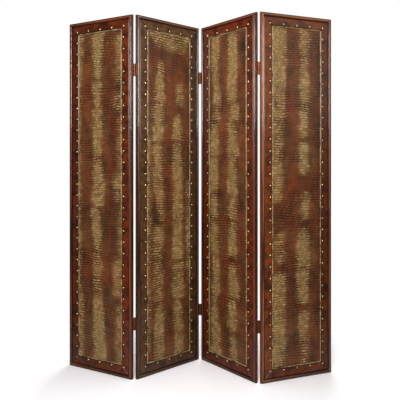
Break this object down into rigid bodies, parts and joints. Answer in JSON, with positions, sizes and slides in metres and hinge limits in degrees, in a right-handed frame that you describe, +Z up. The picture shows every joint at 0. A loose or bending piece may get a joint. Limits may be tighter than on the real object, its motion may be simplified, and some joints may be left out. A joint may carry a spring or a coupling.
{
  "type": "folding screen",
  "caption": "Folding room divider of tall hinged panels: profiled wood moulding, nailed faux leather border, padded embossed crocodile faux leather centre.",
  "frame": {"origin": "middle of the standing screen's footprint, on the floor", "axes": "+Z up along the panels' height, +X to the viewer's right, -Y towards the viewer of the leather fronts"},
  "size_m": [1.3804, 0.3226, 1.829],
  "materials": {
    "moulding": "glossy mahogany stain",
    "board": "raw fibreboard",
    "border_leather": "smooth mottled faux leather",
    "gold_roll": "pale gold rolled faux leather",
    "crocodile_leather": "embossed, banded gold and brown",
    "back_leather": "plain dark brown",
    "nail_brass": "antiqued domed",
    "hinge_metal": "antique copper plated"
  },
  "bodies": {
    "panel_1": {"panel_1_stile_left": "moulding", "panel_1_stile_right": "moulding", "panel_1_rail_bottom": "moulding", "panel_1_rail_top": "moulding", "panel_1_core_board": "board", "panel_1_border_sides": "border_leather", "panel_1_border_ends": "border_leather", "panel_1_edge_roll": "gold_roll", "panel_1_centre_pad": "crocodile_leather", "panel_1_nails": "nail_brass", "panel_1_back_cover": "back_leather", "hinge_1_lower_leaf_left": "hinge_metal", "hinge_1_upper_leaf_left": "hinge_metal", "hinge_1_pins": "hinge_metal"},
    "panel_2": {"panel_2_stile_left": "moulding", "panel_2_stile_right": "moulding", "panel_2_rail_bottom": "moulding", "panel_2_rail_top": "moulding", "panel_2_core_board": "board", "panel_2_border_sides": "border_leather", "panel_2_border_ends": "border_leather", "panel_2_edge_roll": "gold_roll", "panel_2_centre_pad": "crocodile_leather", "panel_2_nails": "nail_brass", "panel_2_back_cover": "back_leather", "hinge_2_lower_leaf_left": "hinge_metal", "hinge_2_upper_leaf_left": "hinge_metal", "hinge_2_pins": "hinge_metal", "hinge_1_lower_leaf_right": "hinge_metal", "hinge_1_upper_leaf_right": "hinge_metal"},
    "panel_3": {"panel_3_stile_left": "moulding", "panel_3_stile_right": "moulding", "panel_3_rail_bottom": "moulding", "panel_3_rail_top": "moulding", "panel_3_core_board": "board", "panel_3_border_sides": "border_leather", "panel_3_border_ends": "border_leather", "panel_3_edge_roll": "gold_roll", "panel_3_centre_pad": "crocodile_leather", "panel_3_nails": "nail_brass", "panel_3_back_cover": "back_leather", "hinge_3_lower_leaf_left": "hinge_metal", "hinge_3_upper_leaf_left": "hinge_metal", "hinge_3_pins": "hinge_metal", "hinge_2_lower_leaf_right": "hinge_metal", "hinge_2_upper_leaf_right": "hinge_metal"},
    "panel_4": {"panel_4_stile_left": "moulding", "panel_4_stile_right": "moulding", "panel_4_rail_bottom": "moulding", "panel_4_rail_top": "moulding", "panel_4_core_board": "board", "panel_4_border_sides": "border_leather", "panel_4_border_ends": "border_leather", "panel_4_edge_roll": "gold_roll", "panel_4_centre_pad": "crocodile_leather", "panel_4_nails": "nail_brass", "panel_4_back_cover": "back_leather", "hinge_3_lower_leaf_right": "hinge_metal", "hinge_3_upper_leaf_right": "hinge_metal"}
  },
  "joints": [
    {"name": "fold_1", "type": "hinge", "parent": "panel_2", "child": "panel_1", "pos_m": [-0.31941, -0.09921, 0.9145], "axis": [0, 0, 1], "range_deg": [-112.3, 67.7]},
    {"name": "fold_2", "type": "hinge", "parent": "panel_2", "child": "panel_3", "pos_m": [0.01022, 0.14756, 0.9145], "axis": [0, 0, 1], "range_deg": [-91.1, 88.9]},
    {"name": "fold_3", "type": "hinge", "parent": "panel_3", "child": "panel_4", "pos_m": [0.30077, -0.1442, 0.9145], "axis": [0, 0, 1], "range_deg": [-68.8, 111.2]}
  ]
}
